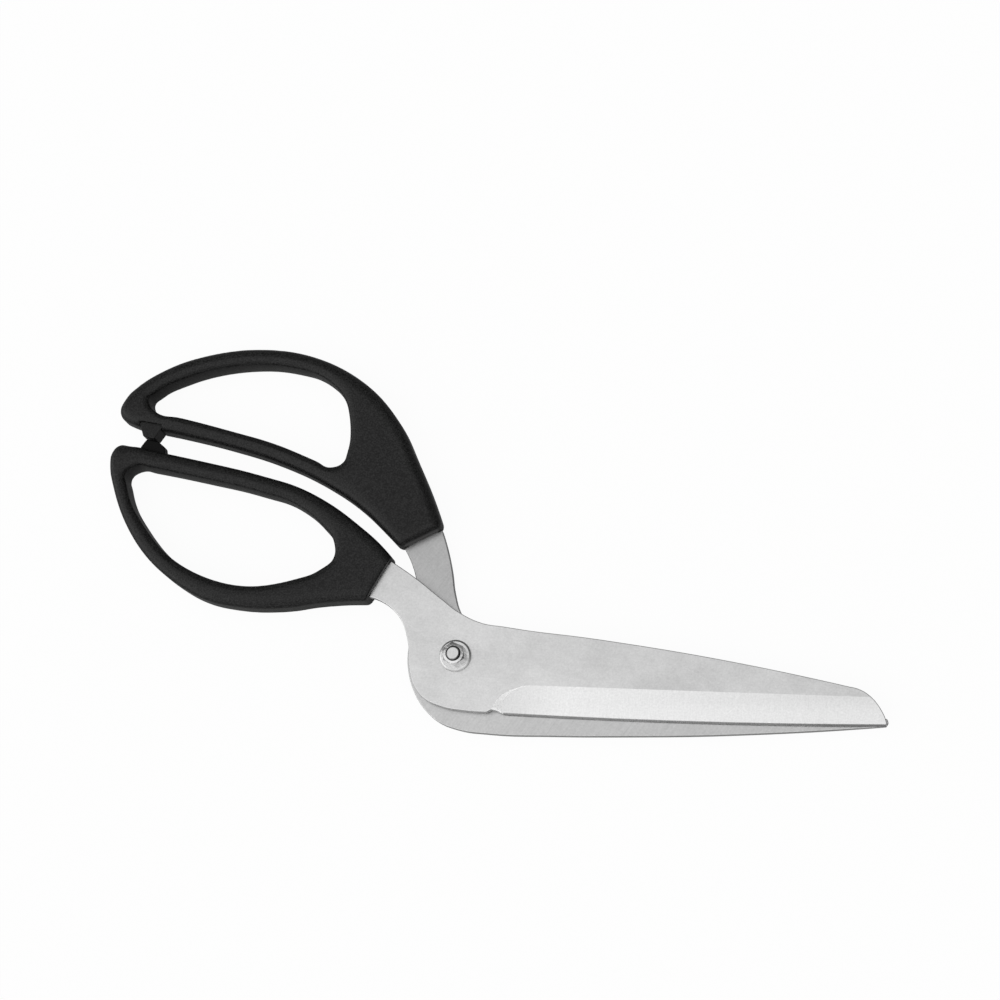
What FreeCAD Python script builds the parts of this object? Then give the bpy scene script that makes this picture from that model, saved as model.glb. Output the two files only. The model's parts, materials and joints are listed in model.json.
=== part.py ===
"""Offset-handle shears: two bevelled plates on one bolt, each with a moulded loop handle.

Row frame in millimetres: the pivot axis is the Z axis, the backs of the handles and the bolt head lie
on z = 0, +X runs from the pivot to the blade tips and the handles rise towards -X and +Y.
"""
import FreeCAD, Part
import math
import os
import Sketcher
from FreeCAD import Placement, Rotation, Vector

doc = FreeCAD.newDocument("Shears")

# ---------------------------------------------------------------- driving dimensions
SIZES = {
    "blade_thickness": 3.0,
    "blade_gap": 0.4,
    "handle_thickness": 13.0,
    "lower_outer_round": 3.3,
    "upper_outer_round": 3.8,
    "handle_hole_round": 1.8,
    "lower_end_round": 0.8,
    "upper_end_round": 3.0,
    "bolt_diameter": 5.0,
    "bolt_flats": 4.2,
    "bolt_end_chamfer": 0.4,
    "bolt_stick_out": 0.8,
    "head_diameter": 12.0,
    "head_height": 3.3,
    "head_round": 1.6,
    "pivot_clearance": 0.05,
    "washer_diameter": 12.2,
    "washer_thickness": 1.0,
    "washer_bevel": 0.35,
    "nut_across_flats": 8.0,
    "nut_height": 4.0,
    "nut_turn": 38.0,
    "nut_countersink": 5.8,
    "bevel_angle": 7.4,
    "bevel_runout_angle": 70.0,
    "edge_run": 0.55,
    "edge_rise": 1.35,
    "edge_land": 0.15,
    "key_hole_diameter": 4.6,
    "upper_bumper_foot": 2.2,
    "upper_bumper_depth": 10.0,
    "lower_bumper_foot": 3.5,
    "lower_bumper_depth": 6.0,
    "upper_bumper_round": 0.8,
    "lower_bumper_round": 1.3,
}
sheet = doc.addObject("Spreadsheet::Sheet", "Sizes")
for row, (alias, value) in enumerate(SIZES.items(), start=1):
    sheet.set(f"A{row}", alias)
    sheet.set(f"B{row}", str(value))
    sheet.setAlias(f"B{row}", alias)
doc.recompute()


def size(alias):
    """The value that the sheet holds for one driving dimension."""
    return float(getattr(sheet, alias))


REAR_FACE = "Sizes.head_height"
REAR_INNER = REAR_FACE + " + Sizes.blade_thickness"
FRONT_INNER = REAR_INNER + " + Sizes.blade_gap"
FRONT_FACE = FRONT_INNER + " + Sizes.blade_thickness"
NUT_SEAT = FRONT_FACE + " + Sizes.washer_thickness"
NUT_TOP = NUT_SEAT + " + Sizes.nut_height"

rear_face = size("head_height")
rear_inner = rear_face + size("blade_thickness")
front_inner = rear_inner + size("blade_gap")
front_face = front_inner + size("blade_thickness")
nut_seat = front_face + size("washer_thickness")
nut_top = nut_seat + size("nut_height")
bolt_end = nut_top + size("bolt_stick_out")


# ---------------------------------------------------------------- sketch and feature helpers
def new_body(name):
    body = doc.addObject("PartDesign::Body", name)
    body.Label = name
    return body


def plane_of(body, role):
    """One of the body's own origin planes, found by its role."""
    return next(item for item in body.Origin.OriginFeatures if item.Role == role)


def new_sketch(body, name, role="XY_Plane", height=None, offset=None):
    """A sketch on an origin plane, lifted by a height expression or by a full offset placement."""
    sketch = body.newObject("Sketcher::SketchObject", name)
    sketch.AttachmentSupport = (plane_of(body, role), [""])
    sketch.MapMode = "FlatFace"
    if offset is not None:
        sketch.AttachmentOffset = offset
    if height is not None:
        sketch.setExpression("AttachmentOffset.Base.z", height)
    return sketch


def flat(point):
    return Vector(point[0], point[1], 0)


def line(start, end):
    return Part.LineSegment(flat(start), flat(end))


def arc(start, middle, end):
    return Part.Arc(flat(start), flat(middle), flat(end))


def bend(start, apex, end):
    """The arc that leaves start and reaches end along the two sides of a corner at apex."""
    middle = (start + end) / 2
    height, half = (apex - middle).Length, (end - start).Length / 2
    if height < 1e-4:
        return Part.LineSegment(start, end)
    radius = (apex - start).Length * half / height
    rise = radius - math.sqrt(radius ** 2 - half ** 2)
    return Part.Arc(start, middle + (apex - middle) * (rise / height), end)


def smooth(points, closed=False):
    """A chain of tangent arcs through a few points, two arcs from each point to the next.

    The direction at a point is that of the circle through it and its two neighbours.
    """
    spots = [flat(point) for point in points]
    if closed:
        spots = spots[-1:] + spots + spots[:2]
    steps = [after - before for before, after in zip(spots, spots[1:])]
    aims = [(come / come.Length ** 2 + go / go.Length ** 2).normalize() for come, go in zip(steps, steps[1:])]
    if closed:
        spots = spots[1:-1]
    else:
        ends = [step.normalize() for step in (steps[0], steps[-1])]
        first, last = (chord * (2 * aim.dot(chord)) - aim for chord, aim in zip(ends, (aims[0], aims[-1])))
        aims = [first] + aims + [last]
    chain = []
    for start, end, leave, arrive in zip(spots, spots[1:], aims, aims[1:]):
        chord = end - start
        spread, along = 2 * (1 - leave.dot(arrive)), chord.dot(leave + arrive)
        reach = chord.dot(chord) / (along + math.sqrt(along ** 2 + spread * chord.dot(chord)))
        first, second = start + leave * reach, end - arrive * reach
        joint = (first + second) / 2
        chain += [bend(start, first, joint), bend(joint, second, end)]
    return chain


def polygon(points):
    return [line(start, end) for start, end in zip(points, points[1:] + points[:1])]


def rounded(points, radius):
    """A polygon with straight sides and every corner rounded by one radius."""
    shapes, ends = [], []
    count = len(points)
    for index in range(count):
        before, here, after = (flat(points[(index + step) % count]) for step in (-1, 0, 1))
        to_before, to_after = (before - here).normalize(), (after - here).normalize()
        half = to_before.getAngle(to_after) / 2
        reach = radius / math.tan(half)
        middle = (to_before + to_after).normalize() * (radius / math.sin(half) - radius)
        ends.append((here + to_before * reach, here + middle, here + to_after * reach))
    for index in range(count):
        start, middle, end = ends[index]
        shapes.append(Part.Arc(start, middle, end))
        shapes.append(Part.LineSegment(end, ends[(index + 1) % count][0]))
    return shapes


def circle(sketch, centre, diameter):
    """A circle whose centre is fixed and whose diameter follows an expression."""
    index = sketch.addGeometry(Part.Circle(flat(centre), Vector(0, 0, 1), 1.0))
    if centre == (0, 0):
        sketch.addConstraint(Sketcher.Constraint("Coincident", index, 3, -1, 1))
    else:
        sketch.addConstraint(Sketcher.Constraint("DistanceX", -1, 1, index, 3, centre[0]))
        sketch.addConstraint(Sketcher.Constraint("DistanceY", -1, 1, index, 3, centre[1]))
    row = sketch.addConstraint(Sketcher.Constraint("Diameter", index, 2.0))
    sketch.setExpression(f"Constraints[{row}]", diameter)


def pad(body, sketch, name, length):
    feature = body.newObject("PartDesign::Pad", name)
    feature.Profile = sketch
    feature.setExpression("Length", length)
    doc.recompute()
    return feature


def pocket(body, sketch, name, length=None, upward=False, taper=None):
    """A pocket through everything, or to a length, that must take some material away."""
    faces = len(body.Shape.Faces)
    feature = body.newObject("PartDesign::Pocket", name)
    feature.Profile = sketch
    feature.Reversed = upward
    if length is None:
        feature.Type = "ThroughAll"
    else:
        feature.setExpression("Length", length)
    if taper is not None:
        feature.setExpression("TaperAngle", taper)
    doc.recompute()
    if len(feature.Shape.Faces) <= faces:
        raise RuntimeError(name + " cuts nothing")
    return feature


def dress(body, kind, name, edges, **settings):
    """A fillet or chamfer on named edges of the body's last feature."""
    base = body.Tip
    feature = body.newObject("PartDesign::" + kind, name)
    feature.Base = (base, edges)
    for key, value in settings.items():
        if isinstance(value, str) and value.startswith("Sizes."):
            feature.setExpression(key, value)
        else:
            setattr(feature, key, value)
    doc.recompute()
    return feature


def walls(outline):
    """Upright sheets over an outline, to find the edges that lie on it."""
    return Part.Compound([shape.toShape().extrude(Vector(0, 0, 40)) for shape in outline])


def edges_where(shape, test):
    """Names of the edges whose ends and middle all pass a test."""
    names = []
    for index, edge in enumerate(shape.Edges, start=1):
        low, high = edge.ParameterRange
        spots = [edge.valueAt(low + (high - low) * part) for part in (0.02, 0.5, 0.98)]
        if all(test(spot) for spot in spots):
            names.append(f"Edge{index}")
    return names


# ---------------------------------------------------------------- where steel enters plastic
class HandleEnd:
    """The flat end of a handle, where its blade's neck comes out.

    point is the middle of the end line, angle the direction of that line in degrees, and inward the
    side on which the handle lies. at(along, depth) is a point by its distance along the line and its
    depth into the handle.
    """

    def __init__(self, point, angle, inward):
        turn = math.radians(angle)
        self.point = point
        self.along = (math.cos(turn), math.sin(turn))
        self.inward = (-math.sin(turn) * inward, math.cos(turn) * inward)

    def at(self, along, depth):
        return tuple(self.point[axis] + self.along[axis] * along + self.inward[axis] * depth for axis in (0, 1))


lower_end = HandleEnd((-30.9, 29.9), 61.1, 1)
upper_end = HandleEnd((-15.4, 46.4), 26.7, 1)
neck_half = 8.1
tang_half = 6.6
lower_tang = 15.0
upper_tang = 33.0
lower_keys = [lower_end.at(-2.9 + 5.8 * side, 9.0) for side in (0, 1)]
upper_keys = [upper_end.at(0, depth) for depth in (10.0, 24.0)]


def tang(end, length, tip_half):
    """The tang's sides and end inside the handle, from the upper shoulder round to the lower one."""
    corner = 2.0
    return [
        line(end.at(neck_half, 0), end.at(tang_half, 0)),
        line(end.at(tang_half, 0), end.at(tip_half, length - corner)),
        arc(end.at(tip_half, length - corner), end.at(tip_half - 0.3 * corner, length - 0.3 * corner),
            end.at(tip_half - corner, length)),
        line(end.at(tip_half - corner, length), end.at(corner - tip_half, length)),
        arc(end.at(corner - tip_half, length), end.at(0.3 * corner - tip_half, length - 0.3 * corner),
            end.at(-tip_half, length - corner)),
        line(end.at(-tip_half, length - corner), end.at(-tang_half, 0)),
        line(end.at(-tang_half, 0), end.at(-neck_half, 0)),
    ]


# ---------------------------------------------------------------- blades
front_spine = [lower_end.at(neck_half, 0), (-16.8, 30.2), (-7.0, 22.6), (0.4, 17.1), (8.0, 13.4), (20.5, 11.2),
               (54.9, 6.9), (92.6, 1.1), (129.7, -6.0), (148.0, -10.0)]
front_nose = [(148.0, -10.0), (152.6, -11.4), (156.9, -14.8), (159.5, -18.4), (161.1, -21.8), (161.6, -24.3)]
front_edge = [(19.2, -21.9), (100.0, -24.2), (161.6, -24.3)]
front_choil = [(19.2, -21.9), (16.6, -20.7), (14.6, -20.3), (12.9, -21.3)]
front_heel = [(12.9, -21.3), (5.0, -20.9), (-4.0, -19.5), (-11.2, -16.4), (-15.8, -10.7), (-17.7, -3.5),
              (-18.6, 5.0), (-21.6, 13.6), (-27.1, 19.5), lower_end.at(-neck_half, 0)]


def bevel_outline(length, reach, side):
    """The ground bevel in its own tilted plane: along +X, reaching past the edge on one side.

    The grinding wheel's run-out rounds the end near the pivot like a quarter of an ellipse.
    """
    steep = [(4.4, side * 9.0), (5.2, side * 5.7), (7.8, side * 3.0)]
    shallow = [(7.8, side * 3.0), (11.6, side * 0.8), (17.0, 0.0)]
    return [
        line((17.0, 0), (length, 0)),
        line((length, 0), (length, side * reach)),
        line((length, side * reach), (4.4, side * reach)),
        line((4.4, side * reach), (4.4, side * 9.0)),
        arc(*steep),
        arc(*shallow),
    ]


def blade(name, outline, keys, foot, bevel):
    """A plate with key holes in its tang and one wide ground bevel on its outer face."""
    body = new_body(name)
    profile = new_sketch(body, name + "_outline", height=foot)
    profile.addGeometry(outline)
    for key in keys:
        circle(profile, key, "Sizes.key_hole_diameter")
    pad(body, profile, name + "_plate", "Sizes.blade_thickness")
    x, y, face_z, turn, side = bevel
    tilt = Rotation(Vector(0, 0, 1), turn) * Rotation(Vector(1, 0, 0), size("bevel_angle"))
    ground = new_sketch(body, name + "_bevel_plane", offset=Placement(Vector(x, y, face_z), tilt))
    ground.addGeometry(bevel_outline(165.0, 20.0, side))
    pocket(body, ground, name + "_bevel", "Sizes.blade_thickness * 0.6", upward=side < 0,
           taper="Sizes.bevel_runout_angle")
    return body


def edge_facet(body, edge_points, inner_z, side):
    """The steep facet down to the cutting edge: a wedge swept along the edge's shallow arc.

    side is +1 where the edge faces +Y and the blade's outer face is its lower one, -1 for the reverse.
    """
    name = body.Label
    faces = len(body.Shape.Faces)
    path = arc(*edge_points)
    spine = new_sketch(body, name + "_edge_line", height=inner_z)
    spine.addGeometry(path)
    doc.recompute()
    start = flat(edge_points[0])
    ahead = path.tangent(path.parameter(start))[0]
    outward = Vector(ahead.y, -ahead.x, 0) * (1 if ahead.x * -side > 0 else -1)
    towards_face = Vector(0, 0, -side)
    turned = Rotation(outward, towards_face, outward.cross(towards_face), "ZXY")
    wedge = new_sketch(body, name + "_wedge", offset=Placement(start + spine.Placement.Base, turned))
    low, high = size("edge_land"), size("blade_thickness") + 0.2
    run = (high - low) * size("edge_run") / size("edge_rise")
    wedge.addGeometry(polygon([(0, low), (-run, high), (1.0, high), (1.0, low)]))
    facet = body.newObject("PartDesign::SubtractivePipe", name + "_edge_facet")
    facet.Profile = wedge
    facet.Spine = (spine, ["Edge1"])
    doc.recompute()
    if len(facet.Shape.Faces) <= faces:
        raise RuntimeError(name + " has no edge facet")


# ---------------------------------------------------------------- front blade
front_rim = smooth(front_spine) + smooth(front_nose) + smooth(front_heel)
front_outline = (tang(lower_end, lower_tang, 6.2) + front_rim + [arc(*front_edge)]
                 + [line(a, b) for a, b in zip(front_choil, front_choil[1:])])
front_blade = blade("front_blade", front_outline, lower_keys, FRONT_INNER, (14.0, -10.6, front_face, -1.3, -1))
pivot_hole = new_sketch(front_blade, "front_pivot_circle", height=FRONT_INNER)
circle(pivot_hole, (0, 0), "Sizes.bolt_diameter + 2 * Sizes.pivot_clearance")
pocket(front_blade, pivot_hole, "front_pivot_hole", upward=True)
edge_facet(front_blade, front_edge, FRONT_INNER, -1)

# ---------------------------------------------------------------- rear blade
rear_front = [upper_end.at(neck_half, 0), (-5.6, 42.4), (-3.5, 34.0), (-2.1, 25.9), (0.1, 18.7), (5.0, 11.6),
              (12.0, 7.0), (14.6, 5.4)]
rear_choil = [(14.6, 5.4), (16.2, 4.2), (18.2, 4.2), (20.6, 5.3)]
rear_edge = [(20.6, 5.3), (91.0, -7.4), (161.7, -21.3)]
rear_tip = [(161.7, -21.3), (162.1, -22.7), (161.3, -24.1)]
rear_spine = [(161.3, -24.1), (148.0, -25.2), (118.6, -27.2), (89.0, -28.6), (66.6, -29.1), (40.0, -29.4),
              (14.0, -29.0), (3.0, -27.8), (-6.0, -24.6), (-12.0, -19.4), (-17.0, -10.8), (-19.0, -2.5),
              (-18.2, 10.0), (-17.0, 21.0), (-17.6, 31.4), (-19.7, 37.4), upper_end.at(-neck_half, 0)]
rear_rim = smooth(rear_front) + smooth(rear_spine)
rear_outline = (tang(upper_end, upper_tang, 5.0) + rear_rim + [arc(*rear_edge)]
                + [line(a, b) for a, b in zip(rear_choil, rear_choil[1:])]
                + [line(a, b) for a, b in zip(rear_tip, rear_tip[1:])])
rear_blade = blade("rear_blade", rear_outline, upper_keys, REAR_FACE, (12.5, -3.2, rear_face, -10.6, 1))


def flatted_bore(body, height):
    """A round bore with two flats, which holds the bolt's shank against turning."""
    radius, half = size("bolt_diameter") / 2, size("bolt_flats") / 2
    side = math.sqrt(radius ** 2 - half ** 2)
    bore = new_sketch(body, "rear_pivot_profile", height=height)
    bore.addGeometry([
        line((-side, -half), (side, -half)), arc((side, -half), (radius, 0), (side, half)),
        line((side, half), (-side, half)), arc((-side, half), (-radius, 0), (-side, -half)),
    ])
    pocket(body, bore, "rear_pivot_hole", upward=True)


flatted_bore(rear_blade, REAR_FACE)
edge_facet(rear_blade, rear_edge, REAR_INNER, 1)

# ---------------------------------------------------------------- moulded loop handles
upper_outer = [upper_end.at(9.0, 0), (-13.0, 65.0), (-17.4, 74.5), (-26.4, 92.3), (-36.1, 104.2),
               (-48.7, 113.6), (-65.1, 120.4), (-84.6, 122.9), (-103.8, 120.9), (-119.2, 116.2),
               (-133.8, 107.3), (-136.7, 104.5), (-139.2, 95.5), (-133.6, 91.9), (-128.5, 90.7),
               (-113.7, 87.5), (-95.1, 82.9), (-75.6, 76.9), (-57.6, 69.0), (-38.9, 56.8), (-30.3, 48.8),
               upper_end.at(-9.4, 0)]
upper_hole = [(-127.2, 99.0), (-128.2, 102.6), (-124.8, 105.9), (-113.4, 111.4), (-92.8, 116.1),
              (-71.9, 115.5), (-57.5, 110.9), (-49.3, 103.4), (-45.7, 91.5), (-46.0, 81.0), (-48.0, 75.6),
              (-52.7, 73.9), (-59.0, 76.7), (-75.0, 83.3), (-94.6, 89.1), (-114.0, 94.2), (-124.1, 96.4)]
lower_outer = [lower_end.at(9.4, 0), (-32.1, 44.2), (-40.2, 51.0), (-50.7, 58.7), (-63.5, 65.6),
               (-81.5, 71.3), (-105.3, 77.0), (-121.3, 80.4), (-133.2, 82.9), (-139.5, 83.0),
               (-142.0, 79.3), (-142.1, 75.7), (-139.3, 64.2), (-134.1, 52.1), (-124.5, 38.4),
               (-112.5, 28.2), (-99.6, 21.2), (-84.3, 18.1), (-66.9, 18.1), (-53.9, 20.0),
               lower_end.at(-10.2, 0)]
lower_hole = [(-135.3, 71.6), (-129.8, 75.3), (-125.0, 74.4), (-104.1, 70.1), (-82.5, 65.1), (-65.3, 59.3),
              (-54.5, 51.2), (-49.5, 44.8), (-49.0, 38.1), (-55.0, 32.5), (-64.9, 28.9), (-84.2, 26.4),
              (-99.9, 29.9), (-115.6, 38.8), (-125.4, 49.6), (-132.7, 61.5), (-134.3, 66.5)]


upper_block = [(-131.3, 93.3), (-120.6, 92.0), (-124.7, 85.8), (-129.2, 86.9)]
lower_block = [(-130.7, 80.0), (-130.5, 83.2), (-128.3, 86.4), (-123.6, 85.3), (-120.9, 83.2), (-119.9, 78.0)]


def block_sketch(body, side, block):
    """The outline of one stop bumper, for the bumper itself and for the seat in its handle."""
    profile = new_sketch(body, body.Label + "_stop_outline", height=f"Sizes.{side}_bumper_foot")
    profile.addGeometry(rounded(block, size(side + "_bumper_round")))
    return profile


def handle(side, end, outer, hole, tang_shape, keys, blade_foot, block):
    """A moulded loop: rounded block with a finger hole, seats for the tang and the stop bumper."""
    name = side + "_handle"
    body = new_body(name)
    profile = new_sketch(body, name + "_outline")
    profile.addGeometry(smooth(outer) + [line(outer[-1], outer[0])] + smooth(hole, closed=True))
    pad(body, profile, name + "_block", "Sizes.handle_thickness")
    outer_wall = walls(smooth(outer))
    end_wall = walls([line(end.at(-40, 0), end.at(40, 0))])
    hole_wall = walls(smooth(hole, closed=True))

    def level(spot):
        return min(abs(spot.z), abs(spot.z - size("handle_thickness"))) < 0.01

    def on_outer(spot):
        return level(spot) and outer_wall.distToShape(Part.Vertex(spot))[0] < 0.01

    def on_end(spot):
        return end_wall.distToShape(Part.Vertex(spot))[0] < 0.01

    def on_hole(spot):
        return level(spot) and hole_wall.distToShape(Part.Vertex(spot))[0] < 0.01

    dress(body, "Fillet", name + "_outer_round", edges_where(body.Shape, on_outer),
          Radius=f"Sizes.{side}_outer_round")
    dress(body, "Fillet", name + "_end_round", edges_where(body.Shape, on_end),
          Radius=f"Sizes.{side}_end_round")
    dress(body, "Fillet", name + "_hole_round", edges_where(body.Shape, on_hole), Radius="Sizes.handle_hole_round")
    socket = new_sketch(body, name + "_tang_profile", height=blade_foot)
    socket.addGeometry(tang_shape[1:-1] + [line(end.at(-tang_half, 0), end.at(tang_half, 0))])
    for key in keys:
        circle(socket, key, "Sizes.key_hole_diameter")
    pocket(body, socket, name + "_tang_pocket", "Sizes.blade_thickness", upward=True)
    seat = block_sketch(body, side, block)
    pocket(body, seat, name + "_bumper_seat", f"Sizes.{side}_bumper_depth", upward=True)
    return body


def bumper(side, block):
    """A stop block; the two meet when the shears are closed."""
    body = new_body(side + "_bumper")
    pad(body, block_sketch(body, side, block), side + "_bumper_block", f"Sizes.{side}_bumper_depth")
    return body


lower_handle = handle("lower", lower_end, lower_outer, lower_hole, tang(lower_end, lower_tang, 6.2),
                      lower_keys, FRONT_INNER, lower_block)
upper_handle = handle("upper", upper_end, upper_outer, upper_hole, tang(upper_end, upper_tang, 5.0),
                      upper_keys, REAR_FACE, upper_block)
lower_bumper = bumper("lower", lower_block)
upper_bumper = bumper("upper", upper_block)

# ---------------------------------------------------------------- pivot bolt, washers and nut
half_bolt, half_head = size("bolt_diameter") / 2, size("head_diameter") / 2
chamfer, dome = size("bolt_end_chamfer"), size("head_round")
pivot_bolt = new_body("pivot_bolt")
turned = new_sketch(pivot_bolt, "bolt_half_profile", role="XZ_Plane")
rim = dome * (1 - math.sqrt(0.5))
turned.addGeometry([
    line((0, 0), (half_head - dome, 0)),
    arc((half_head - dome, 0), (half_head - rim, rim), (half_head, dome)),
    line((half_head, dome), (half_head, rear_face)),
    line((half_head, rear_face), (half_bolt, rear_face)),
    line((half_bolt, rear_face), (half_bolt, bolt_end - chamfer)),
    line((half_bolt, bolt_end - chamfer), (half_bolt - chamfer, bolt_end)),
    line((half_bolt - chamfer, bolt_end), (0, bolt_end)),
    line((0, bolt_end), (0, 0)),
])
turning = pivot_bolt.newObject("PartDesign::Revolution", "bolt_turning")
turning.Profile = turned
turning.ReferenceAxis = (turned, ["V_Axis"])
turning.Angle = 360
doc.recompute()
flats = new_sketch(pivot_bolt, "bolt_flats_profile", height=REAR_FACE)
half_flat = size("bolt_flats") / 2
for side in (-1, 1):
    low, high = sorted((side * half_flat, side * (half_bolt + 1)))
    flats.addGeometry(polygon([(-half_bolt - 1, low), (half_bolt + 1, low), (half_bolt + 1, high),
                               (-half_bolt - 1, high)]))
pocket(pivot_bolt, flats, "bolt_flats", "Sizes.blade_thickness", upward=True)


def ring(name, foot, outer, inner, thickness):
    """A flat washer."""
    body = new_body(name)
    profile = new_sketch(body, name + "_outline", height=foot)
    circle(profile, (0, 0), outer)
    circle(profile, (0, 0), inner)
    pad(body, profile, name + "_disc", thickness)
    return body


def groove(body, name, points):
    """Turns away what a closed profile of (radius, height) points sweeps about the pivot axis."""
    volume = body.Shape.Volume
    profile = new_sketch(body, name + "_profile", role="XZ_Plane")
    profile.addGeometry(polygon(points))
    feature = body.newObject("PartDesign::Groove", name)
    feature.Profile = profile
    feature.ReferenceAxis = (profile, ["V_Axis"])
    feature.Angle = 360
    doc.recompute()
    if not feature.Shape.Volume < volume - 0.5:
        raise RuntimeError(name + " turns nothing away")


glide_washer = ring("glide_washer", REAR_INNER, "Sizes.washer_diameter", "Sizes.bolt_diameter", "Sizes.blade_gap")
front_washer = ring("front_washer", FRONT_FACE, "Sizes.washer_diameter", "Sizes.bolt_diameter",
                    "Sizes.washer_thickness")
washer_rim, washer_bevel = size("washer_diameter") / 2, size("washer_bevel")
groove(front_washer, "washer_rim_bevel", [(washer_rim, nut_seat - washer_bevel), (washer_rim + 1, nut_seat),
                                          (washer_rim - 2 * washer_bevel, nut_seat)])

pivot_nut = new_body("pivot_nut")
hexagon = new_sketch(pivot_nut, "nut_outline", height=NUT_SEAT)
corner = size("nut_across_flats") / math.sqrt(3)
turns = [math.radians(size("nut_turn") + 60 * step) for step in range(6)]
hexagon.addGeometry(polygon([(corner * math.cos(turn), corner * math.sin(turn)) for turn in turns]))
circle(hexagon, (0, 0), "Sizes.bolt_diameter")
pad(pivot_nut, hexagon, "nut_block", "Sizes.nut_height")
flat_radius = size("nut_across_flats") / 2 * 0.95
drop = (corner + 1 - flat_radius) * math.tan(math.radians(30))
groove(pivot_nut, "nut_corners", [(flat_radius, nut_top), (corner + 1, nut_top), (corner + 1, nut_top - drop)])
sink = size("nut_countersink") / 2 - half_bolt
groove(pivot_nut, "nut_mouth", [(half_bolt - 1, nut_top), (half_bolt + sink, nut_top), (half_bolt, nut_top - sink),
                                (half_bolt - 1, nut_top - sink)])

# ---------------------------------------------------------------- check and export
sub_parts = [front_blade, rear_blade, lower_handle, upper_handle, lower_bumper, upper_bumper, pivot_bolt,
             pivot_nut, front_washer, glide_washer]
doc.recompute()
for item in doc.Objects:
    if "Invalid" in item.State or "Error" in item.State:
        raise RuntimeError(f"{item.Name} failed: {item.State}")
os.makedirs("parts", exist_ok=True)
for body in sub_parts:
    if body.Shape.isNull() or not body.Shape.isValid() or not body.Shape.Solids:
        raise RuntimeError(body.Label + " has no valid solid")
    body.Shape.exportStep(f"parts/{body.Label}.step")
    print(f"{body.Label}: {body.Shape.Volume:.0f} mm3, {len(body.Shape.Faces)} faces")
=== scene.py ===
"""Looks for a pair of offset-handle shears: satin and cross-ground steel, black moulded loops, a plated nut."""

import json
import math
from functools import partial

import bmesh
import bpy
import numpy as np
from mathutils import Matrix, Vector

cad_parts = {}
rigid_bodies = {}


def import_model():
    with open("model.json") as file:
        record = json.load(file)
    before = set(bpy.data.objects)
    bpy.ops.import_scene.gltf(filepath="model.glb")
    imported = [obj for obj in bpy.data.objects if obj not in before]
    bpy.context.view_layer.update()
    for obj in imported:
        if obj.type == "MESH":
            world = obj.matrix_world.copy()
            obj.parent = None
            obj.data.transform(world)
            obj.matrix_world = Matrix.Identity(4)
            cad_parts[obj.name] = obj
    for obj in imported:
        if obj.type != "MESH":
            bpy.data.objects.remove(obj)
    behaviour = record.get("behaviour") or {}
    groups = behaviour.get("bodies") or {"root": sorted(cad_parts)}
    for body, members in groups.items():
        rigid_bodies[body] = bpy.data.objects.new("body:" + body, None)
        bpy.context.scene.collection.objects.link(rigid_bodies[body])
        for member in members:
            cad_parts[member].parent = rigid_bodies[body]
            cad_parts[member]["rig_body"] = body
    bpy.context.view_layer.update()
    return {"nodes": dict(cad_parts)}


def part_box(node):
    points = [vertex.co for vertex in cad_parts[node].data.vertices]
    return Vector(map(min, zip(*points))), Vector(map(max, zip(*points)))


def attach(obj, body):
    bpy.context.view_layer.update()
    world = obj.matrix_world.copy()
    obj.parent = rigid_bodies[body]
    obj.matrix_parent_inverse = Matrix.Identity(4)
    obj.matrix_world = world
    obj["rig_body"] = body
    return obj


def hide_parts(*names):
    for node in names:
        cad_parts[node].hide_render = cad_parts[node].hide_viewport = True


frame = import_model()
nodes = frame["nodes"]
scene = bpy.context.scene
MM = 0.001

BLADE_EDGE = 0.34 * MM      # width of the broken edges of the blades
BUMPER_EDGE = 0.3 * MM      # width of the broken edges of the bumpers
BUMPER_PRESS = 0.18         # share by which a bumper's heights are pressed towards its middle
CELL = 0.5 * MM             # side of the cells in which a loop's surface is laid out
SWELL = 0.7 * MM            # how far the wall of a finger hole stands out at mid-thickness
ROUNDS = 60                 # how many times a loop's heights are evened out
LOOP_START = -25 * MM       # x where the evening out begins, off the blade
LOOP_FADE = 20 * MM         # length over which it comes in
STOP_REACH = 8 * MM         # radius about a bumper's middle that isn't evened out
# Corners, in X and Y, of the box round each finger hole.
LOWER_HOLE = np.array(((-135.4, 26.4), (-49.0, 75.3))) * MM
UPPER_HOLE = np.array(((-128.2, 73.9), (-45.7, 116.1))) * MM


# ---------------------------------------------------------------- shader expressions
class Signal:
    """A socket of a node tree; arithmetic on it adds the Math nodes."""

    def __init__(self, tree, socket):
        self.tree = tree
        self.socket = socket

    def math(self, operation, *values):
        return self.tree.node("ShaderNodeMath", {"operation": operation}, values)

    def __add__(self, other):
        return self.math("ADD", self, other)

    def __radd__(self, other):
        return self.math("ADD", other, self)

    def __sub__(self, other):
        return self.math("SUBTRACT", self, other)

    def __rsub__(self, other):
        return self.math("SUBTRACT", other, self)

    def __mul__(self, other):
        return self.math("MULTIPLY", self, other)

    def __rmul__(self, other):
        return self.math("MULTIPLY", other, self)

    def at_least(self, other):
        return self.math("MAXIMUM", self, other)

    def at_most(self, other):
        return self.math("MINIMUM", self, other)

    def clamped(self):
        return self.at_least(0.0).at_most(1.0)


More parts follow.
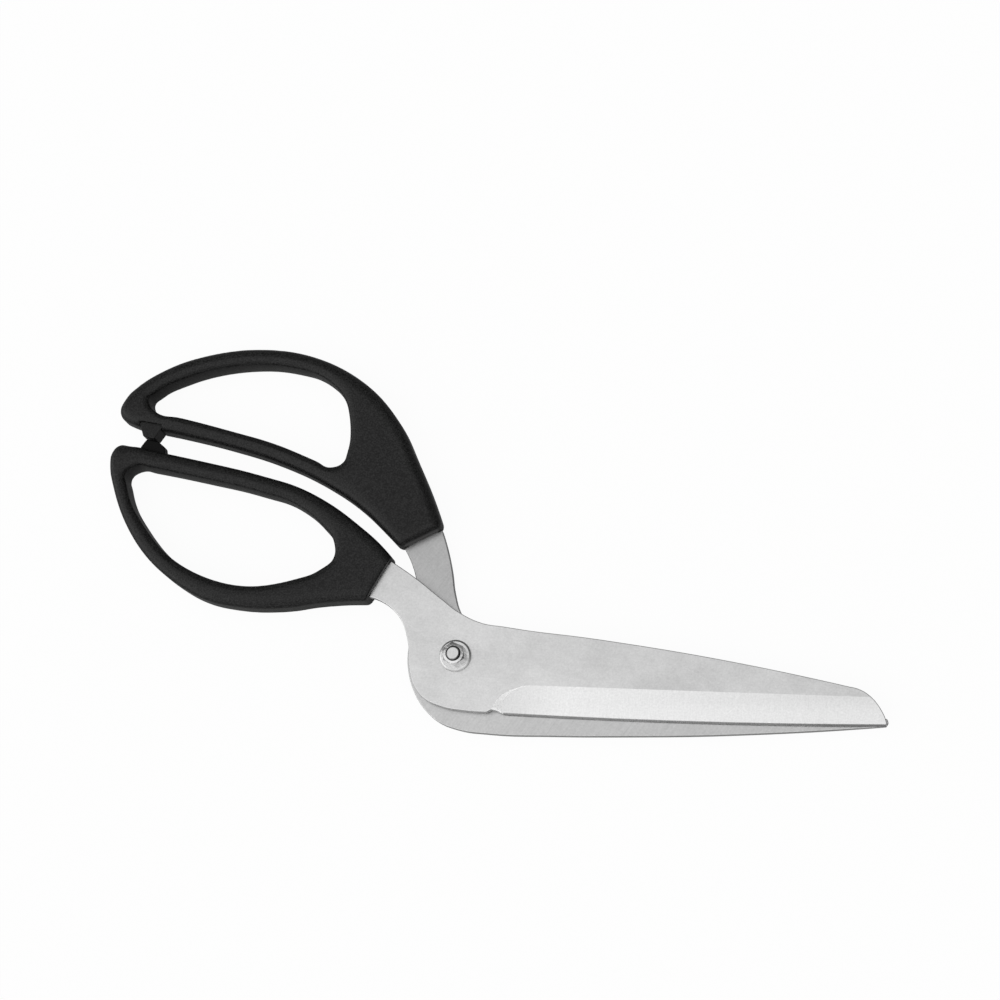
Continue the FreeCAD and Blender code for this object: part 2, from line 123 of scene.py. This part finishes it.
class Tree:
    """The nodes of a material or of the world: constants sit on its shader, and expressions feed the rest."""

    def __init__(self, owner, shader, **constants):
        owner.use_nodes = True
        self.owner = owner
        self.nodes, self.links = owner.node_tree.nodes, owner.node_tree.links
        self.shader = self.nodes[shader]
        for socket, value in constants.items():
            self.shader.inputs[socket.replace("_", " ")].default_value = value

    def node(self, kind, settings, values, output=0):
        """Adds a node, sets it up, fills its sockets with numbers or signals and returns one output."""
        made = self.nodes.new(kind)
        for key, value in settings.items():
            setattr(made, key, value)
        pairs = values.items() if isinstance(values, dict) else enumerate(values)
        for socket, value in pairs:
            if isinstance(value, Signal):
                self.links.new(value.socket, made.inputs[socket])
            else:
                made.inputs[socket].default_value = value
        return Signal(self, made.outputs[output])

    def ramp(self, value, start, end, low=0.0, high=1.0):
        """low where the value is under start, high where it is over end, and a smooth step between them."""
        return self.node("ShaderNodeMapRange", {"interpolation_type": "SMOOTHSTEP"},
                         {"Value": value, "From Min": start, "From Max": end, "To Min": low, "To Max": high})

    def ray(self, kind):
        """1 where the surface is seen by that kind of ray."""
        return self.node("ShaderNodeLightPath", {}, {}, f"Is {kind} Ray")

    def feed(self, **signals):
        for socket, signal in signals.items():
            self.links.new(signal.socket, self.shader.inputs[socket.replace("_", " ")])
        return self.owner


class Finish(Tree):
    """A material with the patterns that the shears' surfaces use."""

    def __init__(self, name, **constants):
        super().__init__(bpy.data.materials.new(name), "Principled BSDF", **constants)

    def place(self, scale=(1, 1, 1), turn=0.0):
        """Object coordinates in metres, scaled along each axis after a turn about Z in degrees."""
        raw = self.node("ShaderNodeTexCoord", {}, {}, "Object")
        turned = self.node("ShaderNodeMapping", {"vector_type": "POINT"},
                           {"Vector": raw, "Rotation": (0, 0, math.radians(turn))})
        return self.node("ShaderNodeMapping", {"vector_type": "POINT"}, {"Vector": turned, "Scale": scale})

    def along(self, axis):
        """The place along X, Y or Z (0, 1 or 2), in metres."""
        return self.node("ShaderNodeSeparateXYZ", {}, (self.place(),), axis)

    def radius(self):
        """The distance from the pivot's axis, in metres."""
        level = self.node("ShaderNodeVectorMath", {"operation": "MULTIPLY"}, (self.place(), (1.0, 1.0, 0.0)))
        return self.node("ShaderNodeVectorMath", {"operation": "LENGTH"}, (level,), "Value")

    def noise(self, place, scale, detail, roughness=0.55):
        return self.node("ShaderNodeTexNoise", {}, {"Vector": place, "Scale": scale, "Detail": detail,
                                                    "Roughness": roughness})

    def bump(self, height, distance):
        return self.node("ShaderNodeBump", {}, {"Height": height, "Distance": distance})


def grey(level):
    return (level, level, level, 1.0)


# ---------------------------------------------------------------- finishes
def steel(name, tone, rough, grain, depth, turn=0.0, streak=0.10, cloud=0.10, shade=None, crown=0.0):
    """Satin steel: long fine grain in one direction, faint clouding and a few stray hairline scratches.

    shade, where given, takes the finish and returns a factor on the tone that changes over the piece, as
    painted shade.
    crown rounds the surface about the pivot's axis: its height falls by crown times the radius squared.
    """
    made = Finish(name, Metallic=1.0)
    lines = made.noise(made.place(grain, turn), 1.0, 4.0, 0.7)
    clouds = made.noise(made.place((1.0, 1.6, 1.0), turn + 15.0), 55.0, 3.0, 0.6)
    speckle = made.noise(made.place(), 1500.0, 2.0, 0.6)
    strays = (made.noise(made.place((45.0, 1500.0, 45.0), turn + angle), 1.0, 2.0) for angle in (24.0, -38.0))
    scratches = sum(made.ramp(stray, 0.69, 0.74) for stray in strays)
    grained = (lines - 0.5) * streak * 2.0 + (clouds - 0.5) * cloud * 2.0
    factor = grained + (speckle - 0.5) * 0.34 + scratches * 0.06 + 1.0
    if shade:
        factor = factor * shade(made)
    roughness = (rough + (lines - 0.5) * 0.16 + (clouds - 0.5) * 0.10).clamped()
    height = lines * depth
    if crown:
        height = height - made.radius() * made.radius() * crown
    return made.feed(Base_Color=(factor * tone).clamped(), Roughness=roughness, Normal=made.bump(height, 1.0))


def moulded(name, tone, rough, grain, depth, specular):
    """Matte moulded plastic with a fine spark-eroded grain."""
    made = Finish(name, Specular_IOR_Level=specular)
    pebbles = made.noise(made.place(), grain, 3.0, 0.6)
    clouds = made.noise(made.place(), 60.0, 2.0)
    level = (made.ramp(pebbles, 0.35, 0.70) * 2.6 + 0.1) * tone
    roughness = (rough + (pebbles - 0.5) * 0.4 + (clouds - 0.5) * 0.08).clamped()
    return made.feed(Base_Color=level, Roughness=roughness, Normal=made.bump(pebbles, depth))


def neck_shade(made):
    """Darker from the pivot towards the handle, where the loops keep the light off the rear blade."""
    return made.ramp(made.along(1), 2 * MM, 30 * MM, 1.0, 0.84)


def runout_painted_shade(made):
    """Painted shade: darker where the ground bevel runs out towards the pivot, for the light falling off on the
    run-out's curve.
    """
    return made.ramp(made.along(0), 15 * MM, 45 * MM, 0.84, 1.0)


def nut_mouth_painted_shade(made):
    """Painted shade: dark in the mouth of the nut, where the thread starts."""
    return made.ramp(made.radius(), 2.7 * MM, 3.1 * MM, 0.25, 1.0)


def washer_shade(made):
    """Darker towards the rim, which falls away from the light."""
    return made.ramp(made.radius(), 5.5 * MM, 5.95 * MM, 1.0, 0.6)


def bolt_rim_painted_shade(made):
    """Painted shade: dark round the edge of the bolt's end, where the thread runs out."""
    return made.ramp(made.radius(), 2.05 * MM, 2.35 * MM, 1.0, 0.4)


cross_grain = {"grain": (2200.0, 260.0, 60.0), "depth": 0.000006, "streak": 0.12, "cloud": 0.05}
blade_flat = steel("satin_steel", 0.605, 0.38, (25.0, 1800.0, 25.0), 0.000004, turn=4.0, streak=0.08,
                   cloud=0.22)
blade_bevel = steel("cross_ground_steel", 0.665, 0.34, shade=runout_painted_shade, **cross_grain)
# Painted light: the run-out's tone is raised well above the bevel's to stand in for the light its slope
# catches; its higher roughness is a finish.
blade_runout_painted_light = steel("run_out_steel_painted_light", 0.95, 0.70, **cross_grain)
blade_facet = steel("honed_steel", 0.5, 0.28, (1500.0, 60.0, 60.0), 0.000004)
blade_inner = steel("inner_satin_steel", 0.50, 0.36, (1400.0, 90.0, 60.0), 0.000005, turn=35.0, streak=0.20,
                    shade=neck_shade)
blade_wall = steel("blanked_steel", 0.50, 0.6, (1200.0, 1200.0, 60.0), 0.00001)
handle_black = moulded("textured_black", 0.008, 0.38, grain=1800.0, depth=0.00008, specular=0.215)
# Painted shade: the lower bumper's tone, far darker than the upper's, stands for the shadow it sits in; its
# finer grain is its own.
lower_bumper_painted_shade = moulded("smooth_black_painted_shade", 0.0015, 0.42, grain=4000.0, depth=0.00001, specular=0.10)
upper_bumper_black = moulded("matte_black", 0.007, 0.38, grain=2500.0, depth=0.00003, specular=0.215)
bolt_steel = steel("turned_steel", 0.58, 0.30, (500.0, 500.0, 500.0), 0.000004, shade=bolt_rim_painted_shade)
nut_chrome = steel("plated_nut", 0.60, 0.06, (300.0, 300.0, 300.0), 0.00045, streak=0.05,
                   shade=nut_mouth_painted_shade, crown=45.0)
washer_steel = steel("plated_washer", 0.58, 0.14, (450.0, 450.0, 450.0), 0.00015, shade=washer_shade)


# ---------------------------------------------------------------- meshes as arrays
def vectors_of(items, name):
    """One vector for each vertex of a mesh, as the rows of an array."""
    values = np.empty(len(items) * 3)
    items.foreach_get(name, values)
    return values.reshape(-1, 3)


def put_points(mesh, points):
    mesh.vertices.foreach_set("co", points.ravel())
    mesh.update()


def welded(mesh):
    """An editable copy of a mesh with its loose triangles joined."""
    work = bmesh.new()
    work.from_mesh(mesh)
    bmesh.ops.remove_doubles(work, verts=work.verts, dist=1e-7)
    return work


def stand_in(node, name, mesh):
    """The object that shows a mesh in the place of a CAD node and moves with that node's body."""
    piece = bpy.data.objects.new(name, mesh)
    scene.collection.objects.link(piece)
    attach(piece, nodes[node]["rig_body"])
    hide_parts(node)
    return piece


# ---------------------------------------------------------------- blades and bumpers
def one_kind(normals, centres):
    return np.zeros(len(normals))


def blade_kinds(normals, centres, inner_level):
    """0 outer flat, 1 ground bevel, 2 its run-out, 3 honed facet, 4 blanked wall, 5 inner face.

    The first five follow from how far a face is tilted from level.
    """
    tilt = np.degrees(np.arccos(np.minimum(np.abs(normals[:, 2]), 1)))
    kinds = np.select([tilt < 3.1, tilt < 11.5, tilt < 41.4, tilt < 84.3], [0, 1, 2, 3], 4)
    return np.where((kinds == 0) & (np.abs(centres[:, 2] - inner_level) < 0.02 * MM), 5, kinds)


def dressed_copy(node, finishes, kinds_of, edge_width):
    """A copy of a CAD node with its loose triangles joined and its sharp edges slightly broken.

    kinds_of takes the arrays of face normals and centres and gives each face the number of its finish.
    An edge is broken where the surface turns by more than 30 degrees and stays crisp above 3 degrees.
    """
    mesh = nodes[node].data.copy()
    mesh.name = node + "_dressed"
    mesh.attributes.remove(mesh.attributes["custom_normal"])
    mesh.materials.clear()
    for finish in finishes:
        mesh.materials.append(finish)
    work = welded(mesh)
    bmesh.ops.dissolve_degenerate(work, edges=work.edges, dist=1e-6)
    normals = np.array([face.normal for face in work.faces])
    centres = np.array([face.calc_center_median() for face in work.faces])
    for face, kind in zip(work.faces, kinds_of(normals, centres)):
        face.material_index = int(kind)
        face.smooth = True
    bmesh.ops.dissolve_limit(work, angle_limit=math.radians(0.3), verts=work.verts, edges=work.edges,
                             delimit={"MATERIAL"})
    weight = work.edges.layers.float.new("bevel_weight_edge")
    for edge in work.edges:
        turn = math.degrees(edge.calc_face_angle(0.0))
        edge[weight] = 1.0 if turn > 30 else 0.0
        edge.smooth = not 3 < turn <= 30
    work.to_mesh(mesh)
    work.free()
    piece = stand_in(node, node + "_dressed", mesh)
    bevel = piece.modifiers.new("broken_edges", "BEVEL")
    bevel.width = edge_width
    bevel.segments = 2
    bevel.limit_method = "WEIGHT"
    bevel.use_clamp_overlap = False
    bevel.harden_normals = False
    weighted = piece.modifiers.new("even_normals", "WEIGHTED_NORMAL")
    weighted.keep_sharp = True
    weighted.weight = 100
    return piece


def blades():
    """Both plates, each with its own level for the inner face, where the two slide past each other."""
    finishes = [blade_flat, blade_bevel, blade_runout_painted_light, blade_facet, blade_wall, blade_inner]
    inner_levels = {"front_blade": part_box("front_blade")[0].z, "rear_blade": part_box("rear_blade")[1].z}
    for name, level in inner_levels.items():
        piece = dressed_copy(name, finishes, partial(blade_kinds, inner_level=level), BLADE_EDGE)


def middle_of(node):
    low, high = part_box(node)
    return (low + high) / 2


def bumper(name, finish):
    """A stop block, pressed a little towards its mid-height so that it stays within the loop's rounded rims."""
    mesh = dressed_copy(name, [finish], one_kind, BUMPER_EDGE).data
    points = vectors_of(mesh.vertices, "co")
    points[:, 2] += (middle_of(name).z - points[:, 2]) * BUMPER_PRESS
    put_points(mesh, points)


# ---------------------------------------------------------------- loop handles
def cell_surface(node):
    """A copy of a CAD node's surface, laid out again in cells of one size."""
    joined = nodes[node].data.copy()
    work = welded(joined)
    work.to_mesh(joined)
    work.free()
    holder = bpy.data.objects.new("cells", joined)
    scene.collection.objects.link(holder)
    cells = holder.modifiers.new("cells", "REMESH")
    cells.mode = "VOXEL"
    cells.voxel_size = CELL
    mesh = bpy.data.meshes.new_from_object(holder.evaluated_get(bpy.context.evaluated_depsgraph_get()))
    bpy.data.objects.remove(holder)
    bpy.data.meshes.remove(joined)
    return mesh


def swollen(points, normals, hole, bottom, top):
    """The points with the wall of the finger hole made fuller.

    A point of the wall moves level towards the open side by the swell times (1 - (height over half the
    thickness) squared), so the wall is fullest at mid-thickness. Walls that face -Y take all of it and those
    that face +Y a tenth. hole is the pair of corners of the box round the hole.
    """
    low, high = hole
    middle, half = (top + bottom) / 2, (top - bottom) / 2
    towards = (low + high) / 2 - points[:, :2]
    around = np.all((points[:, :2] > low - 2 * MM) & (points[:, :2] < high + 2 * MM), axis=1)
    facing = np.sum(towards * normals[:, :2], axis=1) / np.linalg.norm(towards, axis=1)
    fullness = np.clip(1 - ((points[:, 2] - middle) / half) ** 2, 0, 1) * np.clip(facing * 4, 0, 1) * around
    fullness *= np.clip(0.4 - 0.6 * normals[:, 1], 0.1, 1)
    moved = points.copy()
    moved[:, :2] += normals[:, :2] * (SWELL * fullness)[:, None]
    return moved


def evened(heights, edges, share):
    """The heights, each moved again and again by its share of the way to the mean height of its neighbours."""
    first, second = edges.T
    count = len(heights)
    neighbours = np.bincount(edges.ravel(), minlength=count)
    for _ in range(ROUNDS):
        total = np.bincount(first, heights[second], count) + np.bincount(second, heights[first], count)
        heights = heights + share * (total / neighbours - heights)
    return heights


def full_loop(node, hole, stop):
    """A handle whose finger loop has a fuller, softer section.

    The wall of its hole is swollen. Then heights alone are evened out, which rounds the rims and leaves the
    outline seen from above as it is; the share is half a step on the loop and falls to nothing towards the
    blade and towards the bumper that the loop carries.
    """
    mesh = cell_surface(node)
    mesh.name = node + "_full"
    edges = np.empty(len(mesh.edges) * 2, dtype=np.int32)
    mesh.edges.foreach_get("vertices", edges)
    bottom, top = (corner.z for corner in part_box(node))
    points = swollen(vectors_of(mesh.vertices, "co"), vectors_of(mesh.vertices, "normal"), hole, bottom, top)
    from_stop = np.linalg.norm(points[:, :2] - np.array(middle_of(stop))[:2], axis=1)
    share = 0.5 * np.clip((LOOP_START - points[:, 0]) / LOOP_FADE, 0, 1)
    share *= np.clip(from_stop / STOP_REACH - 1, 0, 1)
    points[:, 2] = evened(points[:, 2], edges.reshape(-1, 2), share)
    put_points(mesh, points)
    mesh.materials.clear()
    mesh.materials.append(handle_black)
    mesh.shade_smooth()
    stand_in(node, node + "_full", mesh)


# ---------------------------------------------------------------- pivot
def finished(node, finish):
    """A CAD node kept as it is, in a better material."""
    mesh = nodes[node].data
    mesh.materials.clear()
    mesh.materials.append(finish)


# ---------------------------------------------------------------- studio
def studio_floor():
    """A plain white floor just under the shears, which keeps a faint shadow."""
    half, level = 1.5, -0.2 * MM
    corners = [(-half, -half, level), (half, -half, level), (half, half, level), (-half, half, level)]
    mesh = bpy.data.meshes.new("studio_floor")
    mesh.from_pydata(corners, [], [(0, 1, 2, 3)])
    paper = Finish("white_paper", Roughness=0.9, Base_Color=grey(0.9))
    mirrored = paper.ray("Glossy") + paper.ray("Transmission")
    seen = (paper.ray("Camera") * 0.95 + mirrored * 0.8).clamped()
    glow = paper.node("ShaderNodeEmission", {}, {"Color": grey(1.0), "Strength": 1.0 - mirrored * 0.8})
    matte = Signal(paper, paper.shader.outputs[0])
    blend = paper.node("ShaderNodeMixShader", {}, (seen, matte, glow))
    paper.links.new(blend.socket, paper.nodes["Material Output"].inputs["Surface"])
    mesh.materials.append(paper.owner)
    floor = bpy.data.objects.new("studio_floor", mesh)
    scene.collection.objects.link(floor)


def soft_box(name, place, width, height, power):
    """A rectangular lamp at a place, turned to face the pivot."""
    data = bpy.data.lights.new(name, "AREA")
    data.shape = "RECTANGLE"
    data.size, data.size_y = width, height
    data.energy = power
    lamp = bpy.data.objects.new(name, data)
    scene.collection.objects.link(lamp)
    lamp.location = place
    lamp.rotation_euler = (-Vector(place)).to_track_quat("-Z", "Y").to_euler()


def studio_world():
    """Light from overhead, stronger in front, and from low on the left and in front; the camera sees white."""
    scene.world = bpy.data.worlds.new("studio")
    room = Tree(scene.world, "Background", Color=grey(1.0))
    around = room.node("ShaderNodeTexCoord", {}, {}, "Generated")

    def slope(direction, start, end, low, high):
        """A smooth change of brightness along one direction in the room."""
        along = room.node("ShaderNodeVectorMath", {"operation": "DOT_PRODUCT"}, (around, direction), "Value")
        return room.ramp(along, start, end, low, high)

    front_to_back = slope((0.4, 0.9, 0.0), -0.30, 0.55, 1.35, 0.38)
    top_to_side = slope((0.0, 0.0, 1.0), 0.25, 0.85, 0.12, 1.0)
    low = slope((0.0, 0.0, 1.0), 0.22, 0.44, 1.2, 0.0)
    left_front = slope((0.8, 0.6, 0.0), -0.60, 0.10, 1.2, 0.0)
    behind = slope((0.0, 1.0, 0.0), 0.20, 0.70, 0.0, 0.35)
    left = slope((1.0, 0.35, 0.0), -0.90, -0.50, 1.8, 0.0)
    brightness = (front_to_back * top_to_side).at_least(low.at_most(left_front.at_least(behind))).at_least(left)
    room.feed(Strength=room.node("ShaderNodeMix", {}, {0: room.ray("Camera"), 2: brightness, 3: 1.0}))


def studio_camera():
    """A long lens a metre from the shears, leaning 9.8 degrees to the right and 15.4 degrees to the front."""
    data = bpy.data.cameras.new("camera")
    data.lens, data.sensor_width = 93.6, 36.0
    data.clip_start, data.clip_end = 0.01, 20.0
    camera = bpy.data.objects.new("camera", data)
    scene.collection.objects.link(camera)
    aim, distance = Vector((0.013874, 0.062057, 0.0065)), 1.0
    back = Vector((math.tan(math.radians(9.8)), -math.tan(math.radians(15.4)), 1.0)).normalized()
    right = (Vector((1.0, 0.0, 0.0)) - back * back.x).normalized()
    turned = Matrix((right, back.cross(right), back)).transposed().to_4x4()
    camera.matrix_world = Matrix.Translation(aim + back * distance) @ turned
    scene.camera = camera


blades()
full_loop("lower_handle", LOWER_HOLE, "lower_bumper")
full_loop("upper_handle", UPPER_HOLE, "upper_bumper")
bumper("lower_bumper", lower_bumper_painted_shade)
bumper("upper_bumper", upper_bumper_black)
finished("pivot_bolt", bolt_steel)
finished("pivot_nut", nut_chrome)
finished("front_washer", washer_steel)
finished("glide_washer", washer_steel)
studio_floor()
studio_world()
soft_box("overhead", (-0.25, 0.3, 1.3), 1.0, 1.0, 0.8)
studio_camera()
scene.view_settings.view_transform = "Standard"
